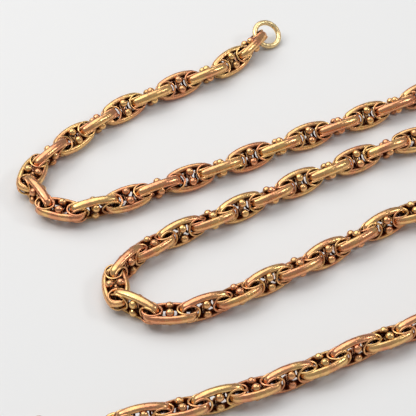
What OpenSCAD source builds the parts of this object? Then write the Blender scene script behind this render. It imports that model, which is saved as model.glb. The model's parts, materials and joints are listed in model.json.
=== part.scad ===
// Watch chain of fancy links: a wire end ring, a run of oval links that cross at right angles,
// a small jump ring and a waistcoat bar. It lies in loose bends on a flat surface, +Z up.

/* [Chain] */
// Number of oval links
link_count = 67; // [67:1:67]
// Distance from one link's centre to the next along the chain
pitch = 6.0; // [5.95:0.01:6.02]

/* [Link] */
// Length of one link, outside
link_l = 8.4; // [8.35:0.01:8.45]
// Width of one link, outside
link_w = 4.4; // [4.35:0.01:4.45]
// Diameter of the heavy wire that the oval is bent from
wire_d = 1.05; // [0.9:0.01:1.08]
// Diameter of the fine wire of the collars soldered on both faces of a link's ends
collar_wire_d = 0.36; // [0.3:0.01:0.38]
// Diameter of a collar at the middle of its wire
collar_d = 2.8; // [2.6:0.05:2.9]
// Distance from the link's centre to a collar's centre
collar_x = 2.35; // [2.3:0.01:2.4]
// Diameter of the beads at the link's waist
bead_d = 1.5; // [1.3:0.05:1.5]
// Distance of a bead's centre from the link's long axis
bead_y = 1.0; // [0.9:0.05:1.05]
// Distance of a bead's centre from the link's middle plane
bead_z = 0.58; // [0.5:0.01:0.6]

/* [End ring] */
// Outside diameter of the ring at the watch end
end_ring_d = 5.8; // [5.6:0.1:6.2]
// Diameter of that ring's wire
end_ring_wire_d = 1.0; // [0.8:0.05:1.0]

/* [Waistcoat bar] */
// Outside diameter of the jump ring that holds the bar
bar_ring_d = 4.2; // [4.2:0.05:4.3]
// Diameter of the jump ring's wire
bar_ring_wire_d = 0.9; // [0.7:0.05:0.9]
// Length of the bar over its end balls
bar_l = 27; // [22:1:30]
// Diameter of the bar
bar_d = 1.9; // [1.6:0.1:2.2]
// Diameter of the balls that end the bar
ball_d = 3.0; // [2.6:0.1:3.2]

/* [Hidden] */
// The route that the chain lies along, seen from above, in mm, from the end ring to the bar.
// The first and last points only steer the curve.
route = [
    [12, 52], [9.5, 48], [4, 40], [-5, 34], [-14, 28], [-21, 21.5], [-27.5, 14],
    [-31, 8.5], [-30, 3], [-25, -1], [-18.5, 0], [-8, 5.5], [3, 11], [13.5, 17],
    [24, 22.5], [34, 28], [40, 31.5], [46, 33.5], [52, 31.5], [54.5, 26], [52.5, 20.5],
    [47, 18], [41, 19], [36, 18], [25.5, 12.5], [15.5, 6.5], [5.5, 0], [-4.5, -6],
    [-10.5, -10.5], [-14.5, -15], [-15.5, -20], [-12.5, -24], [-7, -25.8], [0, -24],
    [9.5, -18], [19.5, -11.5], [29, -4.5], [35, -1], [40.5, 0.3], [45, -2.8],
    [47, -8.5], [45.8, -15], [43, -21], [38.8, -25.5], [32.5, -29], [23.5, -33.5],
    [13, -39.5], [2, -44], [-5, -46.5], [-11, -48], [-17, -49.5], [-25, -51.5]
];
// Elevation of the even links' faces over the chain's left side, at chosen links.
// Odd links stand square to it, so the chain twists gently as this changes.
lean_at = [[1, 45], [6, 45], [17, 135], [23, 138], [25, 162], [30, 162], [32, 145], [34, 135],
    [50, 54], [53, 95], [59, 102], [68, 102]];
// Shift that puts the middle of the whole part over the origin
shift = [-11.651, 4.013];
// Links that share a node: the first number of each group and how many links it holds
groups = [[24, 2], [26, 2], [28, 3], [53, 3], [56, 3], [59, 2], [61, 2], [63, 2], [65, 2]];

curve_steps = 16;
bend_r = (link_w - wire_d) / 2;
bend_x = (link_l - link_w) / 2;
end_wire_x = bend_x + bend_r;
collar_z = wire_d / 2 + collar_wire_d / 6;
end_ring_r = (end_ring_d - end_ring_wire_d) / 2;
bar_ring_r = (bar_ring_d - bar_ring_wire_d) / 2;
ring_gap = 0.1;

// Position along a Catmull-Rom curve between b and c
function between(a, b, c, d, t) = 0.5 * (2 * b + (c - a) * t + (2 * a - 5 * b + 4 * c - d) * t * t
    + (3 * b - a - 3 * c + d) * t * t * t);
path = [for (i = [1 : len(route) - 3], s = [0 : curve_steps - 1])
    between(route[i - 1], route[i], route[i + 1], route[i + 2], s / curve_steps) + shift];

// How far each link's face is turned up from level, and the height of the chain over the table
function face_elevation(k) = lookup(k, lean_at) + (k % 2 == 0 ? 0 : 90);
function reach_down(e) = max(bend_r * abs(cos(e)) + wire_d / 2,
    bead_y * abs(cos(e)) + bead_z * abs(sin(e)) + bead_d / 2);
function height(k) = max(reach_down(face_elevation(k)), reach_down(face_elevation(k) + 90)) + 0.06;

// A link turns sideways on its neighbour's end wire if it lies flat, on its own if it stands
function half_step(k) = pitch / 2 + (end_wire_x - pitch / 2) * cos(2 * face_elevation(k));
function crossing(i, p, r) = norm(path[i + 1] - p) >= r ? i : crossing(i + 1, p, r);
function at_distance(i, p, r) = let (near = norm(path[i] - p), far = norm(path[i + 1] - p))
    path[i] + (path[i + 1] - path[i]) * (r - near) / (far - near);
function walk(k, i, p, found) = k > link_count ? found
    : let (r = 2 * half_step(k), j = crossing(i, p, r), q = at_distance(j, p, r))
        walk(k + 1, j, q, concat(found, [[q.x, q.y, (height(k) + height(k + 1)) / 2]]));
turns = walk(1, 0, path[0], [[path[0].x, path[0].y, height(1)]]);

// Centre and direction of each link, and the angles that lay it there
function centre(k) = (turns[k - 1] + turns[k]) / 2;
function along(k) = let (d = turns[k] - turns[k - 1]) d / norm(d);
function heading(k) = atan2(along(k).y, along(k).x);
function pitch_up(k) = asin(along(k).z);
function roll(k) = face_elevation(k) - 90;

function two_digits(k) = k < 10 ? str("0", k) : str(k);
function size_of(k) = let (g = [for (g = groups) if (g[0] == k) g[1]]) len(g) == 0 ? 1 : g[0];
function inside_group(k) = len([for (g = groups) if (k > g[0] && k < g[0] + g[1]) k]) > 0;
function link_name(k) = size_of(k) == 1 ? str("link_", two_digits(k))
    : str("links_", two_digits(k), "_to_", two_digits(k + size_of(k) - 1));
firsts = [for (k = [1 : link_count]) if (!inside_group(k)) k];

module wire_ring(r, d) {
    rotate_extrude($fn = 64) translate([r, 0]) circle(d = d, $fn = 32);
}

// One link about its own centre, long axis along X, lying flat
module oval_link() {
    for (side = [0, 180]) rotate([0, 0, side]) {
        translate([bend_x, 0, 0]) rotate([0, 0, -90]) rotate_extrude(angle = 180, $fn = 64)
            translate([bend_r, 0]) circle(d = wire_d, $fn = 32);
        translate([-bend_x, bend_r, 0]) rotate([0, 90, 0]) cylinder(d = wire_d, h = 2 * bend_x, $fn = 32);
        for (z = [-collar_z, collar_z]) translate([collar_x, 0, z]) wire_ring(collar_d / 2, collar_wire_d);
    }
    for (y = [-bead_y, bead_y], z = [-bead_z, bead_z]) translate([0, y, z]) sphere(d = bead_d, $fn = 32);
    rotate([90, 0, 0]) cylinder(d = 0.8, h = 2 * bend_r, center = true, $fn = 24);
}

module placed_link(k) {
    translate(centre(k)) rotate([0, -pitch_up(k), heading(k)]) rotate([roll(k), 0, 0]) oval_link();
}

// One link, or the few that share a node
module links(first) {
    color(first % 2 == 0 ? "#c8963c" : "#d09a4e") for (k = [first : first + size_of(first) - 1]) placed_link(k);
}

// The end ring hangs in link 1, turned a little to the chain's right
end_ring_heading = heading(1) + 180 - 18;
end_ring_lean = 56;
end_ring_reach = end_wire_x - wire_d / 2 - end_ring_wire_d / 2 - ring_gap;
end_ring_grip = centre(1) - end_ring_reach * along(1);
end_ring_dir = [cos(end_ring_heading), sin(end_ring_heading), 0];
end_ring_at = end_ring_grip + end_ring_r * end_ring_dir;
module end_ring() {
    color("#d8b26a") translate(end_ring_at) rotate([0, 0, end_ring_heading]) rotate([90 - end_ring_lean, 0, 0])
        wire_ring(end_ring_r, end_ring_wire_d);
}

// The jump ring lies flat in the last link, and the bar's eye stands in it
bar_ring_heading = heading(link_count) + 8;
bar_heading = heading(link_count) + 50;
bar_ring_dir = [cos(bar_ring_heading), sin(bar_ring_heading), 0];
bar_ring_reach = end_wire_x - wire_d / 2 - bar_ring_wire_d / 2 - ring_gap;
bar_ring_grip = centre(link_count) + bar_ring_reach * along(link_count);
bar_ring_at = bar_ring_grip + bar_ring_r * bar_ring_dir;
module bar_ring() {
    color("#c8963c") translate(bar_ring_at) wire_ring(bar_ring_r, bar_ring_wire_d);
}

eye_r = 1.4;
eye_wire_d = 0.9;
eye_to_bar = 2.6;
collar_l = 3.2;
bar_drop = asin((bar_ring_at.z - ball_d / 2) / eye_to_bar);
bar_dir = [cos(bar_heading), sin(bar_heading), 0];
eye_hold = bar_ring_at + bar_ring_r * bar_dir;
eye_at = eye_hold + (eye_r - bar_ring_wire_d / 2 - eye_wire_d / 2 - ring_gap) * bar_dir;
module waistcoat_bar() {
    color("#c8963c") translate(eye_at) rotate([0, bar_drop, bar_heading]) {
        rotate([90, 0, 0]) wire_ring(eye_r, eye_wire_d);
        translate([eye_to_bar, 0, 0]) rotate([90, 0, 0]) {
            cylinder(d = bar_d, h = bar_l - ball_d, center = true, $fn = 32);
            cylinder(d = bar_d + 0.8, h = collar_l, center = true, $fn = 32);
            for (z = [-1, 1] * (bar_l - ball_d) / 2) translate([0, 0, z]) sphere(d = ball_d, $fn = 32);
        }
    }
}

end_ring();
for (k = firsts) links(k);
bar_ring();
waistcoat_bar();
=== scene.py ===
# %% [markdown]
# # A fancy-link pocket watch chain
# A single watch chain of the kind a jeweller sold by the length: 67 heavy oval links that cross at
# right angles, with fine wire collars on the faces of each link and four beads at its waist. One end
# has a plain wire ring, the other a jump ring and a waistcoat bar. The chain was laid down in loose
# bends. This lesson rebuilds its looks in Blender around a frame that holds the exact solids.

import json
from math import asin, atan2, cos, pi, radians, sin, tan

import bmesh
import bpy
from mathutils import Matrix, Vector

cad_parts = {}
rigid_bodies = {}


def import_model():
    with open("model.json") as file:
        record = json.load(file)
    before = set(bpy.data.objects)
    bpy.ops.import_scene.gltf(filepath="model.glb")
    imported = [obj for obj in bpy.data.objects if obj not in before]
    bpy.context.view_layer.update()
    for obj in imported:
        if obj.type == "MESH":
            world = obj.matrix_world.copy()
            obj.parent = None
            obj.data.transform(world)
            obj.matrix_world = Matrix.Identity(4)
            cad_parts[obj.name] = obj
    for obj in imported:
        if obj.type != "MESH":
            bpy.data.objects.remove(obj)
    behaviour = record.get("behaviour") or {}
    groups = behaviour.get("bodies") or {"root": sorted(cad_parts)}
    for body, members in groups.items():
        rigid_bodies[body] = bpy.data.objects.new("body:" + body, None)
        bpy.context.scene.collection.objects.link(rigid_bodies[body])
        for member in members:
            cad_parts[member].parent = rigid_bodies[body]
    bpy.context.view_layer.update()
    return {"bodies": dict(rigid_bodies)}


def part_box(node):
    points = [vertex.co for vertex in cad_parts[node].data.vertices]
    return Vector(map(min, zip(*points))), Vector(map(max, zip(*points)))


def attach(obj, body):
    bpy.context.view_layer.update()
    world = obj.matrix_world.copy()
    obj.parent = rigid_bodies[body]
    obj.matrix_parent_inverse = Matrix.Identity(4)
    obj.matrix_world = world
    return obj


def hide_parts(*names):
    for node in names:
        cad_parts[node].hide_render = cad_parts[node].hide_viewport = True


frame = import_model()
MM = 0.001

# %% [markdown]
# ## The route on the table
# The chain is laid out as the solids are: along one smooth curve through points, each link a fixed
# step further on. A link can turn to the side only about a wire that stands up, so the steps shorten
# and lengthen as the links lean over. The links could be placed one by one by hand, but a few short
# rules give every link its centre and its turn, and keep each link inside its neighbours.

# %% Sizes of the chain, in millimetres
LINK_COUNT = 67
PITCH = 6.0
LINK_LENGTH, LINK_WIDTH, WIRE = 8.4, 4.4, 1.05
BEAD, BEAD_SPREAD, BEAD_HEIGHT = 1.5, 1.0, 0.58
BEND_R = (LINK_WIDTH - WIRE) / 2
BEND_X = (LINK_LENGTH - LINK_WIDTH) / 2
END_WIRE_X = BEND_X + BEND_R
TABLE_GAP = 0.06
print("chain length:", LINK_COUNT * PITCH, "mm")

# %% Route points in millimetres, and how far the links lean, in degrees
ROUTE = [
    (12, 52), (9.5, 48), (4, 40), (-5, 34), (-14, 28), (-21, 21.5), (-27.5, 14),
    (-31, 8.5), (-30, 3), (-25, -1), (-18.5, 0), (-8, 5.5), (3, 11), (13.5, 17),
    (24, 22.5), (34, 28), (40, 31.5), (46, 33.5), (52, 31.5), (54.5, 26), (52.5, 20.5),
    (47, 18), (41, 19), (36, 18), (25.5, 12.5), (15.5, 6.5), (5.5, 0), (-4.5, -6),
    (-10.5, -10.5), (-14.5, -15), (-15.5, -20), (-12.5, -24), (-7, -25.8), (0, -24),
    (9.5, -18), (19.5, -11.5), (29, -4.5), (35, -1), (40.5, 0.3), (45, -2.8),
    (47, -8.5), (45.8, -15), (43, -21), (38.8, -25.5), (32.5, -29), (23.5, -33.5),
    (13, -39.5), (2, -44), (-5, -46.5), (-11, -48), (-17, -49.5), (-25, -51.5),
]
SHIFT = Vector((-11.651, 4.013))
LEAN = [(1, 45), (6, 45), (17, 135), (23, 138), (25, 162), (30, 162), (32, 145), (34, 135),
        (50, 54), (53, 95), (59, 102), (68, 102)]
CURVE_STEPS = 16


def between(a, b, c, d, t):
    """A point on the smooth curve from b to c."""
    return 0.5 * (2 * b + (c - a) * t + (2 * a - 5 * b + 4 * c - d) * t * t
                  + (3 * b - a - 3 * c + d) * t * t * t)


points = [Vector(p) for p in ROUTE]
path = [between(*points[i - 1:i + 3], s / CURVE_STEPS) + SHIFT
        for i in range(1, len(points) - 2) for s in range(CURVE_STEPS)]
print("route points:", len(path))


# %% How a link stands
def face_elevation(k):
    """How far a link's face is turned up from level; odd links stand square to even ones."""
    for (k0, e0), (k1, e1) in zip(LEAN, LEAN[1:]):
        if k <= k1:
            break
    return e0 + (e1 - e0) * (k - k0) / (k1 - k0) + (0 if k % 2 == 0 else 90)


def reach_down(e):
    """How far a link reaches below its own centre when its face is turned up by e degrees."""
    c, s = abs(cos(radians(e))), abs(sin(radians(e)))
    return max(BEND_R * c + WIRE / 2, BEAD_SPREAD * c + BEAD_HEIGHT * s + BEAD / 2)


def height(k):
    """A link lies as high as the deeper one of it and a link square to it needs."""
    e = face_elevation(k)
    return max(reach_down(e), reach_down(e + 90)) + TABLE_GAP


def half_step(k):
    """Half the distance between the two places where a link's neighbours turn."""
    return PITCH / 2 + (END_WIRE_X - PITCH / 2) * cos(radians(2 * face_elevation(k)))


print("heights above the table:", round(height(1), 2), "to", round(height(LINK_COUNT), 2), "mm")

# %% A centre and a turn for every link
turns, at, i = [Vector((*path[0], height(1)))], path[0], 0
for k in range(1, LINK_COUNT + 1):
    stride = 2 * half_step(k)
    while (path[i + 1] - at).length < stride:
        i += 1
    near, far = (path[i] - at).length, (path[i + 1] - at).length
    at = path[i] + (path[i + 1] - path[i]) * (stride - near) / (far - near)
    turns.append(Vector((*at, (height(k) + height(k + 1)) / 2)))
centre = {k: (turns[k - 1] + turns[k]) / 2 for k in range(1, LINK_COUNT + 1)}
along = {k: (turns[k] - turns[k - 1]).normalized() for k in centre}
heading = {k: atan2(along[k].y, along[k].x) for k in centre}
turn = {k: (Matrix.Rotation(heading[k], 3, "Z") @ Matrix.Rotation(-asin(along[k].z), 3, "Y")
            @ Matrix.Rotation(radians(face_elevation(k) - 90), 3, "X")) for k in centre}
print("links laid:", len(centre))

# %% Which links ride on which body
link_bodies = {}
for body in frame["bodies"]:
    if body.startswith("link"):
        numbers = [int(n) for n in body.replace("links_", "").replace("link_", "").split("_to_")]
        link_bodies[body] = list(range(numbers[0], numbers[-1] + 1))
worst = 0
for body, numbers in link_bodies.items():
    lo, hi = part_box(body)
    middle = (Vector(lo) + Vector(hi)) / 2 / MM
    if len(numbers) == 1:
        worst = max(worst, (middle - centre[numbers[0]]).length)
print("link bodies:", len(link_bodies), "largest offset from the solids", round(worst, 3), "mm")

# %% [markdown]
# ## Small helpers for node trees
# Materials and Geometry Nodes are both trees of nodes, and could be drawn by hand in an editor. Here
# every tree is written as a list of steps, so that it can be read from top to bottom. `step_in` adds
# one node to a tree, sets its options and feeds its sockets, either with a value or with the socket
# of an earlier step. `calc` and `remap` are the two kinds of step that are used most.


# %% Node helpers
def step_in(tree, kind, feeds=None, **options):
    """Adds a node; feeds maps a socket's name or number to a value or to another node's socket."""
    made = tree.nodes.new(kind)
    for name, value in options.items():
        setattr(made, name, value)
    for name, value in (feeds or {}).items():
        if isinstance(value, bpy.types.NodeSocket):
            tree.links.new(value, made.inputs[name])
        else:
            made.inputs[name].default_value = value
    return made


def calc(tree, operation, a, b=0.0, clamp=False):
    return step_in(tree, "ShaderNodeMath", {0: a, 1: b}, operation=operation, use_clamp=clamp).outputs[0]


def remap(tree, value, low, high, to_low=0.0, to_high=1.0):
    """Slides a value from the range low to high over to another range, and keeps it there."""
    feeds = {0: value, 1: low, 2: high, 3: to_low, 4: to_high}
    return step_in(tree, "ShaderNodeMapRange", feeds).outputs[0]


def over(tree, value, start, gain):
    """How far a value is over a start, times a gain."""
    return calc(tree, "MULTIPLY", calc(tree, "SUBTRACT", value, start), gain)


# %% [markdown]
# ## Gold
# The chain is rolled gold: a thin skin of gold alloy on brass. Worn high spots are yellow and bright,
# some links have gone rosy as copper shows through, and specks of wear and stain are dark brown. A
# painted picture could hold all this, but it would need unwrapping 67 times, so the colour is worked
# out from noise in space instead. One attribute that each link carries gives it a tone of its own,
# and a second one marks the faces that look inward, which get painted shade in the same dark brown.

# %% Values of the gold
MIX_A, MIX_B, MIX_RESULT = 6, 7, 2
PATCH_SCALE, STAIN_SCALE, WEAR_SCALE = 420.0, 700.0, 1100.0
ROSE_START, ROSE_GAIN = 0.46, 3.4
WEAR_START, STAIN_START = 0.5, 0.42
DARK_FROM, DARK_TO = 0.22, 0.85
GLOSS_FROM, GLOSS_TO, GLOSS_SPAN = 0.3, 1.3, 0.32
DENT_STRENGTH, DENT_DEPTH = 0.6, 0.00012
print("gold wear patterns repeat at about", round(1 / WEAR_SCALE / MM, 1), "mm")


# %% Gold materials
def noise(tree, place, scale, detail, roughness=0.5):
    feeds = {"Vector": place, "Scale": scale, "Detail": detail, "Roughness": roughness}
    return step_in(tree, "ShaderNodeTexNoise", feeds).outputs["Fac"]


def blend(tree, share, first, second):
    """Mixes two colours."""
    feeds = {"Factor": share, MIX_A: first, MIX_B: second}
    return step_in(tree, "ShaderNodeMix", feeds, data_type="RGBA").outputs[MIX_RESULT]


# the darkest colour serves both for specks of stain and wear and for the painted shade on faces that look
# inward
def gold(name, bright, rosy, stain_and_shade, rough, speckle):
    made = bpy.data.materials.new(name)
    made.use_nodes = True
    tree = made.node_tree
    tree.nodes.clear()
    place = step_in(tree, "ShaderNodeTexCoord").outputs["Object"]
    tone = step_in(tree, "ShaderNodeAttribute", attribute_name="tone").outputs["Fac"]
    crevice = step_in(tree, "ShaderNodeAttribute", attribute_name="crevice").outputs["Fac"]
    patches = noise(tree, place, PATCH_SCALE, 3.0)
    stain = noise(tree, place, STAIN_SCALE, 2.0)
    wear = noise(tree, place, WEAR_SCALE, 4.0, 0.6)
    rose = calc(tree, "ADD", over(tree, patches, ROSE_START, ROSE_GAIN), tone, clamp=True)
    skin = blend(tree, rose, (*bright, 1), (*rosy, 1))
    # painted shade: the crevice attribute darkens faces that look inward, added to the specks of wear and
    # stain
    shade_plus_stain = calc(tree, "ADD", crevice, over(tree, wear, WEAR_START, speckle))
    shade_plus_stain = calc(tree, "ADD", shade_plus_stain, over(tree, stain, STAIN_START, speckle))
    dark = remap(tree, shade_plus_stain, DARK_FROM, DARK_TO)
    colour = blend(tree, dark, skin, (*stain_and_shade, 1))
    gloss = remap(tree, calc(tree, "ADD", wear, dark), GLOSS_FROM, GLOSS_TO, rough, rough + GLOSS_SPAN)
    dents = step_in(tree, "ShaderNodeBump",
                    {"Strength": DENT_STRENGTH, "Distance": DENT_DEPTH, "Height": wear}).outputs[0]
    shader = step_in(tree, "ShaderNodeBsdfPrincipled",
                     {"Base Color": colour, "Metallic": 1.0, "Roughness": gloss, "Normal": dents})
    step_in(tree, "ShaderNodeOutputMaterial", {"Surface": shader.outputs[0]})
    return made


rolled_gold = gold("rolled gold", bright=(0.88, 0.55, 0.22), rosy=(0.76, 0.33, 0.17),
                   stain_and_shade=(0.07, 0.010, 0.001), rough=0.16, speckle=1.0)
pale_gold = gold("pale gold wire", bright=(0.86, 0.66, 0.34), rosy=(0.84, 0.58, 0.30),
                 stain_and_shade=(0.25, 0.13, 0.05), rough=0.2, speckle=0.4)
print("materials:", [m.name for m in bpy.data.materials])

# %% [markdown]
# ## One tree makes every link
# A link is bent from heavy wire into an oval and then hammered so that its sides are deeper than they
# are thick. Each end has a fine round collar soldered to either face, and four beads sit on a stud
# across the waist. One link could be modelled by hand and copied. Since all 67 links are the same, a
# Geometry Nodes tree builds the shape once from named sizes, and puts a copy on each point that it is
# given, turned by the point's own attribute. The wirework is drawn a little fuller than the solids,
# as solder and hammering leave it.

# %% A new tree with named sizes
LINK_SIZES = {
    "Half straight": BEND_X + 0.15, "Bend radius": BEND_R + 0.06, "Wire": 1.15, "Side depth": 0.36,
    "Collar wire": 0.4, "Collar radius": 1.4, "Collar place": 2.85, "Collar height": 0.74,
    "Bead radius": 0.73, "Bead spread": 0.9, "Bead height": 0.82, "Stud": 0.9,
}
TONE_SEED = 7
tree = bpy.data.node_groups.new("Watch chain links", "GeometryNodeTree")
tree.interface.new_socket("Geometry", in_out="INPUT", socket_type="NodeSocketGeometry")
tree.interface.new_socket("Geometry", in_out="OUTPUT", socket_type="NodeSocketGeometry")
for name, size in LINK_SIZES.items():
    tree.interface.new_socket(name, in_out="INPUT", socket_type="NodeSocketFloat").default_value = size * MM
tree.interface.items_tree["Side depth"].default_value = LINK_SIZES["Side depth"]
tree.interface.new_socket("Seed", in_out="INPUT", socket_type="NodeSocketInt").default_value = TONE_SEED
finish_id = tree.interface.new_socket("Finish", in_out="INPUT", socket_type="NodeSocketMaterial").identifier
given = step_in(tree, "NodeGroupInput").outputs
place = step_in(tree, "GeometryNodeInputPosition").outputs[0]
x, y, z = step_in(tree, "ShaderNodeSeparateXYZ", {0: place}).outputs[:3]
print("named inputs:", len(given) - 1)


# %% Steps for wirework
def vector(tree, x=0.0, y=0.0, z=0.0):
    return step_in(tree, "ShaderNodeCombineXYZ", {0: x, 1: y, 2: z}).outputs[0]


def wire_loop(tree, radius, wire, around, section):
    """A round loop in the XY plane, and the round section of the wire that follows it."""
    loop = step_in(tree, "GeometryNodeCurvePrimitiveCircle", {"Resolution": around, "Radius": radius})
    profile = step_in(tree, "GeometryNodeCurvePrimitiveCircle",
                      {"Resolution": section, "Radius": calc(tree, "DIVIDE", wire, 2.0)})
    return loop.outputs[0], profile.outputs[0]


def sweep(tree, curve, profile):
    return step_in(tree, "GeometryNodeCurveToMesh", {"Curve": curve, "Profile Curve": profile}).outputs[0]


def pushed(tree, shape, offset):
    """Pushes each point of a shape by an offset of its own."""
    return step_in(tree, "GeometryNodeSetPosition", {"Geometry": shape, "Offset": offset}).outputs[0]


def moved(tree, shape, x=0.0, y=0.0, z=0.0):
    spot = vector(tree, x, y, z)
    return step_in(tree, "GeometryNodeTransform", {"Geometry": shape, "Translation": spot}).outputs[0]


# %% The heavy wire
WIRE_STEPS, WIRE_SIDES = 72, 16
END_FLARE = 1.35
SWELL_REACH, SWELL_POWER = 2.3, 4.0
loop, profile = wire_loop(tree, given["Bend radius"], given["Wire"], WIRE_STEPS, WIRE_SIDES)

# drawn out to an oval: the two halves of the circle part, and the middle stays between them
lean_out = calc(tree, "MULTIPLY", calc(tree, "DIVIDE", x, given["Bend radius"]), END_FLARE)
lean_out = calc(tree, "MAXIMUM", calc(tree, "MINIMUM", lean_out, 1.0), -1.0)
drawn = vector(tree, x=calc(tree, "MULTIPLY", lean_out, given["Half straight"]))
oval = sweep(tree, pushed(tree, loop, drawn), profile)

# hammered: the sides grow deeper, and the ends stay round
share = calc(tree, "DIVIDE", x, calc(tree, "MULTIPLY", given["Half straight"], SWELL_REACH))
swell = calc(tree, "MAXIMUM", calc(tree, "SUBTRACT", 1.0, calc(tree, "POWER", share, SWELL_POWER)), 0.0)
deeper = calc(tree, "MULTIPLY", calc(tree, "MULTIPLY", swell, given["Side depth"]), z)
oval = pushed(tree, oval, vector(tree, z=deeper))
print("heavy wire faces:", WIRE_STEPS * WIRE_SIDES)

# %% Collars, beads and the stud
COLLAR_STEPS, COLLAR_SIDES = 40, 10
COLLAR_STRETCH = 0.15
BEAD_SEGMENTS, BEAD_RINGS, STUD_SIDES = 20, 12, 16
loop, profile = wire_loop(tree, given["Collar radius"], given["Collar wire"], COLLAR_STEPS, COLLAR_SIDES)
longer = vector(tree, x=calc(tree, "MULTIPLY", x, COLLAR_STRETCH))
collar = sweep(tree, pushed(tree, loop, longer), profile)
bead = step_in(tree, "GeometryNodeMeshUVSphere", {"Segments": BEAD_SEGMENTS, "Rings": BEAD_RINGS,
                                                  "Radius": given["Bead radius"]}).outputs[0]
parts = [oval]
for side_x in (-1, 1):
    for side_z in (-1, 1):
        parts.append(moved(tree, collar, x=calc(tree, "MULTIPLY", given["Collar place"], side_x),
                           z=calc(tree, "MULTIPLY", given["Collar height"], side_z)))
        parts.append(moved(tree, bead, y=calc(tree, "MULTIPLY", given["Bead spread"], side_x),
                           z=calc(tree, "MULTIPLY", given["Bead height"], side_z)))
stud = step_in(tree, "GeometryNodeMeshCylinder", {
    "Vertices": STUD_SIDES, "Radius": calc(tree, "DIVIDE", given["Stud"], 2.0),
    "Depth": calc(tree, "MULTIPLY", given["Bend radius"], 2.0)}).outputs[0]
parts.append(step_in(tree, "GeometryNodeTransform", {"Geometry": stud, "Rotation": (pi / 2, 0, 0)}
                     ).outputs[0])
whole = step_in(tree, "GeometryNodeJoinGeometry")
for part in reversed(parts):
    tree.links.new(part, whole.inputs[0])
whole = step_in(tree, "GeometryNodeSetShadeSmooth", {"Geometry": whole.outputs[0]}).outputs[0]
print("parts joined in a link:", len(parts))

# %% Painted shade in the crevices: 1 where a face looks back at the link's own long axis, 0 where it looks away
AXIS_PULL = 0.22
FACING_AWAY, FACING_BACK = 0.55, -0.35
normal = step_in(tree, "GeometryNodeInputNormal").outputs[0]
outward = vector(tree, calc(tree, "MULTIPLY", x, AXIS_PULL), y, z)
outward = step_in(tree, "ShaderNodeVectorMath", {0: outward}, operation="NORMALIZE").outputs[0]
facing = step_in(tree, "ShaderNodeVectorMath", {0: outward, 1: normal}, operation="DOT_PRODUCT").outputs[1]
# painted shade: faces that look inward, where the link's own wires would shade them, are marked for
# darkening
painted_shade = remap(tree, facing, FACING_AWAY, FACING_BACK)
whole = step_in(tree, "GeometryNodeStoreNamedAttribute", {"Geometry": whole, "Name": "crevice",
                                                          "Value": painted_shade}, domain="POINT").outputs[0]
print("crevice starts where the facing falls below", FACING_AWAY)

# %% A copy on every point, each with its own turn and its own tone
TONE_RANGE = 0.75
face = step_in(tree, "GeometryNodeInputNamedAttribute", {"Name": "turn"}, data_type="FLOAT_VECTOR")
number = step_in(tree, "GeometryNodeInputNamedAttribute", {"Name": "number"}, data_type="INT").outputs[0]
tone = step_in(tree, "FunctionNodeRandomValue", data_type="FLOAT")
for name, value in (("ID", number), ("Seed", given["Seed"])):
    tree.links.new(value, next(s for s in tone.inputs if s.name == name and s.enabled))
spots = step_in(tree, "GeometryNodeStoreNamedAttribute", {"Geometry": given["Geometry"], "Name": "tone"},
                domain="POINT")
tree.links.new(calc(tree, "MULTIPLY", tone.outputs[1], TONE_RANGE), spots.inputs["Value"])
copies = step_in(tree, "GeometryNodeInstanceOnPoints", {"Points": spots.outputs[0], "Instance": whole,
                                                        "Rotation": face.outputs[0]}).outputs[0]
real = step_in(tree, "GeometryNodeRealizeInstances", {"Geometry": copies}).outputs[0]
done = step_in(tree, "GeometryNodeSetMaterial", {"Geometry": real, "Material": given["Finish"]}).outputs[0]
step_in(tree, "NodeGroupOutput", {"Geometry": done})
print("link tree nodes:", len(tree.nodes))

# %% [markdown]
# ## From points to pieces
# On the real chain every link is free to move, so every body gets a piece of its own. Its mesh starts
# as one point for each of its links, the tree turns the points into wirework, and the result is kept
# as a plain mesh, because a live modifier can't be handed on with its copies in it.

# %% Links, one piece for each body
triangles = 0
for body, numbers in link_bodies.items():
    spots = bpy.data.meshes.new("spots of " + body)
    spots.from_pydata([centre[k] * MM for k in numbers], [], [])
    spots.attributes.new("turn", "FLOAT_VECTOR", "POINT")
    spots.attributes.new("number", "INT", "POINT")
    for i, k in enumerate(numbers):
        spots.attributes["turn"].data[i].vector = turn[k].to_euler()
        spots.attributes["number"].data[i].value = k
    holder = bpy.data.objects.new("holder", spots)
    bpy.context.scene.collection.objects.link(holder)
    maker = holder.modifiers.new("Links", "NODES")
    maker.node_group = tree
    maker[finish_id] = rolled_gold
    seen = holder.evaluated_get(bpy.context.evaluated_depsgraph_get())
    mesh = bpy.data.meshes.new_from_object(seen)
    bpy.data.objects.remove(holder)
    mesh.materials.clear()
    mesh.materials.append(rolled_gold)
    mesh.polygons.foreach_set("material_index", [0] * len(mesh.polygons))
    piece = bpy.data.objects.new(body + "_wirework", mesh)
    bpy.context.scene.collection.objects.link(piece)
    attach(piece, body)
    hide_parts(body)
    triangles += sum(len(p.vertices) - 2 for p in mesh.polygons)
print("link pieces:", len(link_bodies), "triangles:", triangles)

# %% [markdown]
# ## The rings and the bar
# The end ring is a plain ring of paler wire, closed by a soldered joint. At the other end a jump ring
# holds the bar's eye. The bar is turned on a lathe: a rod with a thick middle and a ball at each end.
# Screw or Spin could turn all of these, but a short loop that turns a list of points about an axis
# does the same for a ring, the eye and the bar, and closes its own ends.

# %% Rings and turned work
RING_STEPS, RING_SIDES, LATHE_STEPS = 72, 20, 40


def add_piece(name, shape, material, place):
    """Makes a smooth-shaded object of a shape that is drawn in millimetres."""
    shape.transform(Matrix.Scale(MM, 4) @ place)
    bmesh.ops.recalc_face_normals(shape, faces=shape.faces)
    mesh = bpy.data.meshes.new(name)
    shape.to_mesh(mesh)
    shape.free()
    mesh.polygons.foreach_set("use_smooth", [True] * len(mesh.polygons))
    mesh.materials.append(material)
    piece = bpy.data.objects.new(name, mesh)
    bpy.context.scene.collection.objects.link(piece)
    return piece


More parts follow.
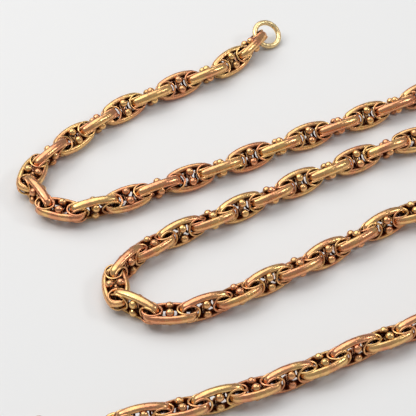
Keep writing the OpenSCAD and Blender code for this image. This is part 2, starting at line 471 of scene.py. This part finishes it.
def turn_round(shape, profile, around=LATHE_STEPS, closed=False):
    """Turns a list of (radius, height) about Z; closed joins the list's ends, as for a ring."""
    rows = []
    for r, h in profile:
        rows.append([shape.verts.new((r * cos(a), r * sin(a), h))
                     for a in (2 * pi * i / around for i in range(around))])
    pairs = list(zip(rows, rows[1:])) + ([(rows[-1], rows[0])] if closed else [])
    for low, high in pairs:
        for i in range(around):
            j = (i + 1) % around
            shape.faces.new((low[i], low[j], high[j], high[i]))
    if not closed:
        shape.faces.new(rows[0][::-1])
        shape.faces.new(rows[-1])
    return shape


def wire_ring(shape, radius, wire):
    angles = [2 * pi * i / RING_SIDES for i in range(RING_SIDES)]
    section = [(radius + wire / 2 * cos(a), wire / 2 * sin(a)) for a in angles]
    return turn_round(shape, section, RING_STEPS, closed=True)


def level(angle):
    """A direction on the table."""
    return Vector((cos(angle), sin(angle), 0))


# %% End ring
RING_GAP = 0.1
END_RING, END_RING_WIRE = 5.8, 1.0
END_RING_SWING, END_RING_LEAN = 18, 56
end_r = (END_RING - END_RING_WIRE) / 2
end_heading = heading[1] + radians(180 - END_RING_SWING)
grip = centre[1] - (END_WIRE_X - WIRE / 2 - END_RING_WIRE / 2 - RING_GAP) * along[1]
end_place = (Matrix.Translation(grip + end_r * level(end_heading)) @ Matrix.Rotation(end_heading, 4, "Z")
             @ Matrix.Rotation(radians(90 - END_RING_LEAN), 4, "X"))
ring = add_piece("end_ring_wire", wire_ring(bmesh.new(), end_r, END_RING_WIRE), pale_gold, end_place)
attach(ring, "end_ring")
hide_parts("end_ring")
print("end ring:", END_RING, "mm across")

# %% Jump ring
BAR_RING, BAR_RING_WIRE = 4.2, 0.9
BAR_RING_SWING = 8
last = LINK_COUNT
bar_ring_r = (BAR_RING - BAR_RING_WIRE) / 2
grip = centre[last] + (END_WIRE_X - WIRE / 2 - BAR_RING_WIRE / 2 - RING_GAP) * along[last]
bar_ring_at = grip + bar_ring_r * level(heading[last] + radians(BAR_RING_SWING))
jump = add_piece("bar_ring_wire", wire_ring(bmesh.new(), bar_ring_r, BAR_RING_WIRE), rolled_gold,
                 Matrix.Translation(bar_ring_at))
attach(jump, "bar_ring")
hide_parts("bar_ring")
print("jump ring:", BAR_RING, "mm across")

# %% The bar's turned outline, from one end to the other
BAR_LENGTH, BAR_D, BALL_D, BAR_COLLAR = 24, 1.6, 2.0, 3.0
POINT_R = 0.05
NECK, WAIST = 0.9, 0.82
LIP, COLLAR_RISE, GROOVE = 0.3, 0.4, 0.28
half, ball_r, rod_r, collar_end = (BAR_LENGTH - BALL_D) / 2, BALL_D / 2, BAR_D / 2, -BAR_COLLAR / 2
profile = [(POINT_R, -half - ball_r)]
profile += [(ball_r * sin(a), -half - ball_r * cos(a)) for a in (radians(t) for t in range(12, 145, 8))]
profile += [(rod_r * NECK, ball_r - half), (rod_r * WAIST, -half * 0.7), (rod_r, collar_end - 0.7)]
profile += [(rod_r + LIP, collar_end - 0.45), (rod_r + COLLAR_RISE, collar_end)]
profile += [(rod_r + COLLAR_RISE, -0.6), (rod_r + GROOVE, -0.35), (rod_r + GROOVE, 0)]
profile += [(r, -h) for r, h in reversed(profile[:-1])]
print("points in the bar's outline:", len(profile))

# %% Waistcoat bar
EYE_R, EYE_WIRE, EYE_TO_BAR = 1.4, 0.9, 2.6
BAR_SWING, BAR_REST = 50, 1.5
bar_heading = heading[last] + radians(BAR_SWING)
drop = asin((bar_ring_at.z - BAR_REST) / EYE_TO_BAR)
reach = bar_ring_r + EYE_R - BAR_RING_WIRE / 2 - EYE_WIRE / 2 - RING_GAP
bar_place = (Matrix.Translation(bar_ring_at + reach * level(bar_heading))
             @ Matrix.Rotation(bar_heading, 4, "Z") @ Matrix.Rotation(drop, 4, "Y"))
bar = turn_round(bmesh.new(), profile)
bar.transform(Matrix.Translation((EYE_TO_BAR, 0, 0)) @ Matrix.Rotation(pi / 2, 4, "X"))
eye = wire_ring(bmesh.new(), EYE_R, EYE_WIRE)
eye.transform(Matrix.Rotation(pi / 2, 4, "X"))
spare = bpy.data.meshes.new("eye")
eye.to_mesh(spare)
eye.free()
bar.from_mesh(spare)
bpy.data.meshes.remove(spare)
bar = add_piece("waistcoat_bar_turned", bar, rolled_gold, bar_place)
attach(bar, "waistcoat_bar")
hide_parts("waistcoat_bar")
print("bar:", BAR_LENGTH, "mm long")

# %% [markdown]
# ## The table and the light
# The chain lies on a pale table under soft studio light. Polished metal shows the lamps themselves, so
# their size matters more than their strength: a wide lamp high on the left and behind gives the
# streaks on the wire and the soft shadows to the lower right, two small lamps give the glints, and a
# pale room fills in the rest.

# %% Table
TABLE_HALF = 1.5
TABLE_COLOUR = (0.80, 0.80, 0.795)
corners = [(-TABLE_HALF, -TABLE_HALF, 0), (TABLE_HALF, -TABLE_HALF, 0),
           (TABLE_HALF, TABLE_HALF, 0), (-TABLE_HALF, TABLE_HALF, 0)]
floor_mesh = bpy.data.meshes.new("table")
floor_mesh.from_pydata(corners, [], [(0, 1, 2, 3)])
floor = bpy.data.objects.new("table", floor_mesh)
bpy.context.scene.collection.objects.link(floor)
paper = bpy.data.materials.new("pale table")
paper.use_nodes = True
shader = paper.node_tree.nodes["Principled BSDF"]
shader.inputs["Base Color"].default_value = (*TABLE_COLOUR, 1)
shader.inputs["Roughness"].default_value = 0.7
shader.inputs["Specular IOR Level"].default_value = 0.2
floor_mesh.materials.append(paper)
print("table:", 2 * TABLE_HALF, "m wide")


# %% Lamps and room
def lamp(name, at, size, watts, tint=(1, 1, 1)):
    """A round lamp that faces the middle of the table; places and sizes are in metres."""
    light = bpy.data.lights.new(name, "AREA")
    light.shape, light.size, light.energy, light.color = "DISK", size, watts, tint
    holder = bpy.data.objects.new(name, light)
    holder.location = at
    holder.rotation_euler = (-Vector(at)).to_track_quat("-Z", "Y").to_euler()
    bpy.context.scene.collection.objects.link(holder)


lamp("overhead lamp", (-0.18, 0.18, 0.50), 0.85, 2.9, (1, 0.99, 0.98))
lamp("glint lamp", (-0.35, 0.05, 0.40), 0.10, 0.30, (1, 0.98, 0.95))
lamp("side lamp", (0.45, 0.05, 0.40), 0.12, 0.45)
room = bpy.data.worlds.new("pale room")
room.use_nodes = True
room.node_tree.nodes["Background"].inputs["Color"].default_value = (0.95, 0.97, 1, 1)
room.node_tree.nodes["Background"].inputs["Strength"].default_value = 0.36
bpy.context.scene.world = room
bpy.context.scene.view_settings.view_transform = "Standard"

# %% [markdown]
# ## The camera
# The chain is seen from about a third of a metre away through a long lens, which keeps the near and
# far links almost the same size. It looks down at 42 degrees, from the front and level.

# %% Camera
CAMERA_ELEVATION = radians(42)
SENSOR, LENS = 36, 173.077
AIM = Vector((SHIFT.x, SHIFT.y, 2.1))
CAMERA_RISE = 228.0
eyepoint = bpy.data.cameras.new("camera")
eyepoint.sensor_width = SENSOR
eyepoint.lens = LENS
eyepoint.clip_start = 0.005
camera = bpy.data.objects.new("camera", eyepoint)
camera.location = (AIM + Vector((0, -CAMERA_RISE / tan(CAMERA_ELEVATION), CAMERA_RISE))) * MM
camera.rotation_euler = (pi / 2 - CAMERA_ELEVATION, 0, 0)
bpy.context.scene.collection.objects.link(camera)
bpy.context.scene.camera = camera
print("camera at", [round(v / MM) for v in camera.location], "mm")
